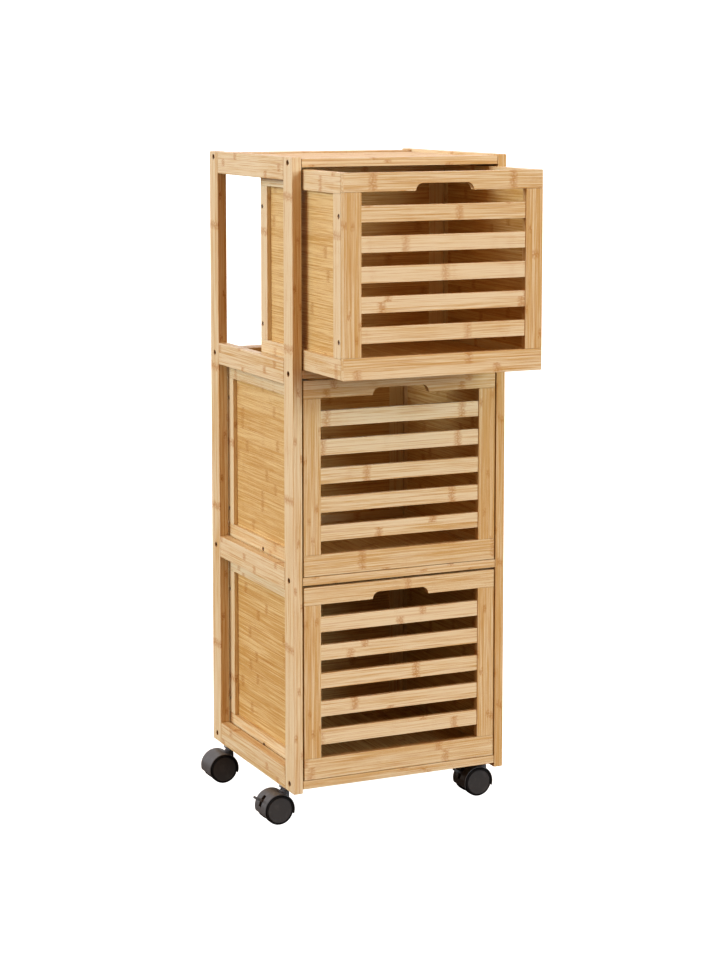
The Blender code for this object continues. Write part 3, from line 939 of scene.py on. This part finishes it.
    def side_wall(self, side: Side) -> None:
        """Makes a side wall and its screws."""
        low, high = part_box(f"{self.name}_side_{side.value}")
        floor_low, floor_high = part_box(f"{self.name}_floor")
        outer, inner = (low.x, high.x) if side is Side.LEFT else (high.x, low.x)
        back_low, back_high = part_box(f"{self.name}_back")
        inset = (back_high.y - back_low.y) / 2
        places = [
            Vector((outer, y, z))
            for y in (low.y + inset, high.y - inset)
            for z in (low.z + self.screw_up, high.z - self.screw_down)
        ]
        places.append(Vector((outer, (low.y + high.y) / 2, (floor_low.z + floor_high.z) / 2)))
        holes = [Hole(place, self.screw_depth, self.screw_radius, side) for place in places]
        sheet = sorted(
            inner + side.sign * depth for depth in (self.panel_inset, self.panel_inset + self.panel_thick)
        )
        margin = Vector((0, self.wall_stile - self.tenon, self.wall_rail - self.tenon))
        panel_low = Vector((sheet[0], low.y, low.z)) + margin
        panel_high = Vector((sheet[1], high.y, high.z)) - margin
        part = f"wall_{side.value}"
        self.framed_wall(part, f"side_{side.value}", Axis.Y, panel_low, panel_high, holes)
        screws = joined([hole.screw() for hole in holes])
        title = f"{self.name}_screws_{side.value}"
        make_piece(title, screws, self.finishes.zinc, self.name)

    def back_wall(self) -> None:
        """Makes the back wall."""
        low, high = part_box(f"{self.name}_back")
        margin = Vector((self.wall_stile - self.tenon, 0, self.wall_rail - self.tenon))
        panel_low = Vector((low.x, low.y + self.panel_inset, low.z)) + margin
        panel_high = Vector((high.x, low.y + self.panel_inset + self.panel_thick, high.z)) - margin
        self.framed_wall("wall_back", "back", Axis.X, panel_low, panel_high, [])

    def floor(self) -> None:
        """Makes the floor of a few wide boards, with the grain from front to back."""
        low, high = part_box(f"{self.name}_floor")
        width = (high.x - low.x) / self.floor_boards
        shapes = []
        for index in range(self.floor_boards):
            start, end = low.copy(), high.copy()
            start.x = low.x + index * width + (self.floor_gap / 2 if index else 0)
            end.x = start.x + width - self.floor_gap
            title = f"{self.name}_floor_{index}"
            strip, tone = self.panel_strip, self.panel_tone
            board = Board(title, start, end, Axis.Y, Axis.X, strip, tone, self.floor_ease)
            shapes.append(board.shape())
        self.piece("floor_boards", joined(shapes), self.finishes.panel, "floor")

    def build(self) -> None:
        """Makes the whole drawer."""
        self.front()
        for side in Side:
            self.side_wall(side)
        self.back_wall()
        self.floor()


# Casters


@dataclass
class Caster:
    """A twin-wheel caster: stem, hood, two wheels and, at the front, a brake lever."""

    finishes: Finishes
    side: Side
    end: End
    wheel_radius: float = 20.9 * MM
    wheel_inner: float = 7.3 * MM
    wheel_outer: float = 19.5 * MM
    disc_radius: float = 17.9 * MM
    axle_radius: float = 3 * MM
    axle_half: float = 16.5 * MM
    hood_inner: float = 21.7 * MM
    hood_outer: float = 23.2 * MM
    hood_half: float = 19 * MM
    hood_start: float = -18.0
    hood_end: float = 198.0
    web_half: float = 6.5 * MM
    boss_radius: float = 6.9 * MM
    boss_top: float = -6.6 * MM
    stem_radius: float = 4 * MM
    stem_top: float = 20 * MM
    stem_foot: float = -22 * MM
    collar_radius: float = 7.6 * MM
    collar_height: float = 2.8 * MM
    neck_radius: float = 5.2 * MM
    slot_half: float = 3.9 * MM
    slot_start: float = 128.0
    slot_end: float = 172.0
    lever_angle: float = 150.0
    lever_length: float = 37.5 * MM
    lever_half: float = 3.2 * MM
    lever_root: float = 4.6 * MM
    lever_tip: float = 3.2 * MM
    lever_middle: float = 3.8 * MM
    hub_radius: float = 4.8 * MM

    def __post_init__(self) -> None:
        """Finds the stem's foot and the axle from the joints."""
        self.stem = Vector(JOINTS[f"{self.name}_swivel"]["pos_m"])
        self.axle = Vector(JOINTS[f"{self.name}_wheel_front_spin"]["pos_m"])

    @property
    def name(self) -> str:
        """The caster's body, and the start of its nodes' names."""
        return f"caster_{self.end.value}_{self.side.value}"

    @property
    def braked(self) -> bool:
        """True for the casters with a brake lever."""
        return self.end is End.FRONT

    def on_axle(self, end: End) -> Matrix:
        """Where a turned part stands on the axle, with local Z towards an end of the cart."""
        return Matrix.Translation(self.axle) @ Matrix.Rotation(math.radians(-90 * end.sign), 4, "X")

    def bar(self, radius: float, half: float) -> Shape:
        """A round bar along the axle, half its length to each side."""
        profile = [(0, -half), (radius, -half), (radius, half), (0, half)]
        return turned(profile, self.on_axle(End.REAR), HOLE_STEPS)

    def shell(self) -> Shape:
        """The fender: a rounded strip bent over both wheels."""
        thick = self.hood_outer - self.hood_inner
        lip = 0.9 * MM
        steps = 54
        section = []
        for turn in range(0, 91, 30):
            across = self.hood_half - lip + lip * math.sin(math.radians(turn))
            section.append((self.hood_outer - lip + lip * math.cos(math.radians(turn)), across))
        section.append((self.hood_inner + 0.2 * MM, self.hood_half))
        section.append((self.hood_inner, self.hood_half - 0.3 * MM))
        section += [(radius, -across) for radius, across in reversed(section)]
        middle = (self.hood_inner + self.hood_outer) / 2
        rings = []
        for step in range(steps + 1):
            angle = math.radians(self.hood_start + (self.hood_end - self.hood_start) * step / steps)
            slim = 0.55 if step in (0, steps) else 1.0
            ring = []
            for radius, across in section:
                reach = middle + (radius - middle) * slim
                spot = Vector((reach * math.cos(angle), across - 0.4 * thick * (1 - slim), 0))
                spot.z = reach * math.sin(angle)
                ring.append(self.axle + spot)
            rings.append(ring)
        return lofted(rings)

    def web(self) -> Shape:
        """The wall between the wheels, from the fender down past the axle."""
        outline = arc(self.axle, (self.hood_inner + self.hood_outer) / 2, self.hood_start, self.hood_end, 48)
        half = Vector((0, self.web_half, 0))
        return prism(outline, -half, 2 * half)

    def boss(self) -> Shape:
        """The stepped socket that the stem stands in."""
        top, wide = self.boss_top, self.boss_radius
        foot = self.axle.z - self.stem.z + 0.6 * self.hood_inner
        bore = self.stem_radius + 0.3 * MM
        profile = [(0, foot), (wide, foot), (wide, top - 5.2 * MM), (wide - 0.5 * MM, top - 4.8 * MM)]
        profile += [(wide - 0.5 * MM, top - 3.4 * MM), (wide, top - 3 * MM), (wide, top - 0.8 * MM)]
        profile += [(wide - 0.8 * MM, top), (bore, top), (bore, top - 2 * MM), (0, top - 2 * MM)]
        return turned(profile, Matrix.Translation(self.stem), ROUND_STEPS)

    def hood(self) -> None:
        """Makes the hood, with a slot for the brake lever on a braked caster, and its axle."""
        shape = combine(self.shell(), self.web(), "UNION")
        shape = combine(shape, self.boss(), "UNION")
        if self.braked:
            outline = arc(self.axle, self.hood_outer + 6 * MM, self.slot_start, self.slot_end, 6)
            outline += arc(self.axle, 5.4 * MM, self.slot_end, self.slot_start, 4)
            half = Vector((0, self.slot_half, 0))
            shape = combine(shape, prism(outline, -half, 2 * half), "DIFFERENCE")
        axle = self.bar(self.axle_radius, self.axle_half)
        make_piece(f"{self.name}_axle_pin", axle, self.finishes.zinc, self.name)
        make_piece(
            f"{self.name}_fender", shape, self.finishes.hood, self.name,
            (f"{self.name}_hood",), MOULDED_ANGLE
        )

    def wheel(self, end: End) -> None:
        """Makes one wheel: a tyre with round shoulders and a hollow back, and the cap let into it."""
        wide, out, inner = self.wheel_radius, self.wheel_outer, self.wheel_inner
        disc = self.disc_radius
        bore = self.axle_radius + CLEARANCE
        round_by = 2.2 * MM
        sunk = out - 1.3 * MM
        stand = self.on_axle(end)
        body, node = f"{self.name}_wheel_{end.value}_body", f"{self.name}_wheel_{end.value}"
        profile = [(0, sunk), (disc + 0.2 * MM, sunk), (disc + 0.35 * MM, out - 0.5 * MM)]
        for turn in range(20, 91, 14):
            angle = math.radians(turn)
            height = out - 0.3 * MM - round_by * (1 - math.cos(angle))
            profile.append((wide - round_by * (1 - math.sin(angle)), height))
        profile += [(wide, inner + 2 * MM), (wide - 0.5 * MM, inner + 0.9 * MM), (wide - 1.4 * MM, inner)]
        profile += [(wide - 4 * MM, inner), (wide - 4.6 * MM, inner + 4 * MM), (7 * MM, inner + 4.5 * MM)]
        profile += [(6.4 * MM, inner), (bore, inner), (bore, self.axle_half + CLEARANCE)]
        profile += [(0, self.axle_half + CLEARANCE)]
        tyre = turned(profile, stand, FINE_STEPS)
        name = f"{self.name}_roller_{end.value}"
        make_piece(name, tyre, self.finishes.tyre, body, (node,), MOULDED_ANGLE)
        profile = [(0, sunk - 0.3 * MM), (disc - 0.2 * MM, sunk - 0.3 * MM), (disc, sunk)]
        profile += [(disc, out - 0.5 * MM), (disc - 0.2 * MM, out - 0.15 * MM), (disc - 0.6 * MM, out)]
        profile += [(disc - 2.0 * MM, out - 0.1 * MM), (0, out - 0.25 * MM)]
        cap = turned(profile, stand, FINE_STEPS)
        name = f"{self.name}_cap_{end.value}"
        make_piece(name, cap, self.finishes.wheel, body, (node,), MOULDED_ANGLE)

    def stem_pin(self) -> None:
        """Makes the stem, with the collar and neck that show under the rail."""
        top, foot, pin = self.stem_top, self.stem_foot, self.stem_radius
        neck, collar = self.neck_radius, self.collar_radius
        under = -0.3 * MM
        low, boss = under - self.collar_height, self.boss_top
        profile = [(0, foot), (pin - 0.5 * MM, foot), (pin, foot + 0.5 * MM), (pin, boss + 0.3 * MM)]
        profile += [(neck, boss + 0.5 * MM), (neck, low - 1.4 * MM), (neck - 0.6 * MM, low - 1 * MM)]
        profile += [(neck - 0.6 * MM, low), (collar - 0.6 * MM, low), (collar, low + 0.6 * MM)]
        profile += [(collar, under - 0.4 * MM), (collar - 0.4 * MM, under), (pin, under)]
        profile += [(pin, top - 1 * MM), (pin - 1 * MM, top), (0, top)]
        pin = turned(profile, Matrix.Translation(self.stem), ROUND_STEPS)
        title, node = f"{self.name}_stem_pin", f"{self.name}_stem"
        make_piece(title, pin, self.finishes.zinc, "cabinet", (node,))

    def lever(self) -> None:
        """Makes the brake lever: a hub on the axle and an arm with a round tip."""
        angle = math.radians(self.lever_angle)
        along = Vector((math.cos(angle), 0, math.sin(angle)))
        up = Vector((math.sin(angle), 0, -math.cos(angle)))
        half = self.lever_half
        tip = self.lever_length - half
        sections = [(self.axle_radius, self.lever_root, half), (20 * MM, self.lever_middle, half)]
        sections.append((tip - 2 * MM, self.lever_tip, half))
        for turn in range(0, 91, 18):
            angle = math.radians(turn)
            thick = self.lever_tip * (1 - 0.0035 * turn)
            wide = max(half * math.cos(angle), 0.6 * MM)
            sections.append((tip + half * math.sin(angle), thick, wide))
        rings = []
        for reach, thick, wide in sections:
            ring = []
            for across, rise in ((-1, -1), (1, -1), (1, 1), (-1, 1)):
                aside = up * (rise * thick / 2) + Vector((0, across * wide, 0))
                ring.append(self.axle + along * reach + aside)
            rings.append(ring)
        hub_half = half + 0.4 * MM
        shape = combine(lofted(rings), self.bar(self.hub_radius, hub_half), "UNION")
        shape = combine(shape, self.bar(self.axle_radius + CLEARANCE, 2 * hub_half), "DIFFERENCE")
        make_piece(
            f"{self.name}_brake_tab", shape, self.finishes.hood, f"{self.name}_brake",
            (f"{self.name}_brake_lever",)
        )

    def build(self) -> None:
        """Makes the whole caster."""
        self.stem_pin()
        self.hood()
        for end in End:
            self.wheel(end)
        if self.braked:
            self.lever()


# Studio


@dataclass
class Studio:
    """A pale floor, soft light from three sides with a warm fill, and the camera."""

    floor_size: float = 120.0
    floor_glow: float = 0.8
    camera_place: Colour = (-1.3671, -2.9552, 1.0445)
    camera_yaw: float = 24.78
    camera_pitch: float = 6.36
    camera_lens: float = 86.03
    camera_shift: float = -0.15
    light_tint: Colour = (0.81, 0.96, 1.0)
    fill_tint: Colour = (1.0, 0.43, 0.14)
    reflected: Colour = (0.75, 0.78, 0.82)

    def floor(self) -> None:
        """Lays the floor that the cart stands on."""
        shape = bmesh.new()
        half = self.floor_size / 2
        corners = ((-half, -half), (half, -half), (half, half), (-half, half))
        shape.faces.new([shape.verts.new((x, y, 0)) for x, y in corners])
        mesh = mesh_of(shape, "studio_floor")
        graph, shader = new_material("studio_floor")
        place = graph.node("TexCoord", {}).outputs["Object"]
        mottle = graph.noise(place, (3.0, 3.0, 3.0), 3.0)
        seen = graph.blend(mottle, (0.32, 0.32, 0.32, 1.0), (0.28, 0.28, 0.28, 1.0))
        direct = graph.node("LightPath", {}).outputs["Is Camera Ray"]
        colour = graph.blend(direct, (0.25, 0.24, 0.23, 1.0), seen)
        graph.tree.links.new(colour, shader.inputs["Base Color"])
        graph.tree.links.new(graph.times(direct, self.floor_glow), shader.inputs["Emission Strength"])
        shader.inputs["Emission Color"].default_value = (1.0, 1.0, 1.0, 1.0)
        shader.inputs["Roughness"].default_value = 0.9
        mesh.materials.append(bpy.data.materials["studio_floor"])
        floor = bpy.data.objects.new("studio_floor", mesh)
        bpy.context.scene.collection.objects.link(floor)

    def sun(self, name: str, azimuth: float, elevation: float, strength: float, spread: float) -> None:
        """Hangs a soft distant light.

        Args:
            name: The light's name.
            azimuth: Where it stands, from -Y towards +X.
            elevation: Its height above the floor's plane.
            strength: How bright it is.
            spread: How wide it looks.
        """
        data = bpy.data.lights.new(name, "SUN")
        data.energy = strength
        data.angle = math.radians(spread)
        data.color = self.light_tint
        light = bpy.data.objects.new(name, data)
        light.rotation_euler = (math.radians(90 - elevation), 0, math.radians(azimuth))
        light.visible_glossy = False
        bpy.context.scene.collection.objects.link(light)

    def sky(self, strength: float) -> None:
        """Sets the warm fill, what glossy surfaces reflect and the white behind the floor."""
        world = bpy.data.worlds.new("studio")
        bpy.context.scene.world = world
        world.use_nodes = True
        graph = Graph(world.node_tree)
        world.node_tree.nodes.clear()
        path = graph.node("LightPath", {})
        warm = tuple(strength * part for part in self.fill_tint) + (1.0,)
        colour = graph.blend(path.outputs["Is Glossy Ray"], warm, (*self.reflected, 1.0))
        colour = graph.blend(path.outputs["Is Camera Ray"], colour, (1.0, 1.0, 1.0, 1.0))
        shown = graph.node("Background", {"Color": colour, "Strength": 1.0})
        out = graph.node("OutputWorld", {})
        graph.tree.links.new(shown.outputs[0], out.inputs[0])

    def camera(self) -> None:
        """Sets up the camera."""
        data = bpy.data.cameras.new("camera")
        data.lens = self.camera_lens
        data.shift_y = self.camera_shift
        data.clip_end = 300.0
        camera = bpy.data.objects.new("camera", data)
        camera.location = self.camera_place
        camera.rotation_euler = (
            math.radians(90 - self.camera_pitch), 0, math.radians(-self.camera_yaw)
        )
        bpy.context.scene.collection.objects.link(camera)
        bpy.context.scene.camera = camera

    def build(self) -> None:
        """Sets the stage: lights at the left, in front and behind, each low and wide."""
        self.camera()
        self.floor()
        self.sun("side_light", -100.0, 18.0, 1.64, 30.0)
        self.sun("front_light", 28.0, 12.0, 1.66, 30.0)
        self.sun("back_light", 140.0, 20.0, 0.9, 40.0)
        self.sky(0.56)
        bpy.context.scene.view_settings.view_transform = "Standard"
        bpy.context.scene.view_settings.look = "High Contrast"


def main() -> None:
    """Builds the cart and its stage."""
    logging.basicConfig(level=logging.INFO, format="%(name)s: %(message)s")
    finishes = Finishes.make()
    Studio().build()
    Frame(finishes).build()
    for tier in Tier:
        Drawer(finishes, tier).build()
    for side in Side:
        for end in End:
            Caster(finishes, side, end).build()


if __name__ == "__main__":
    main()
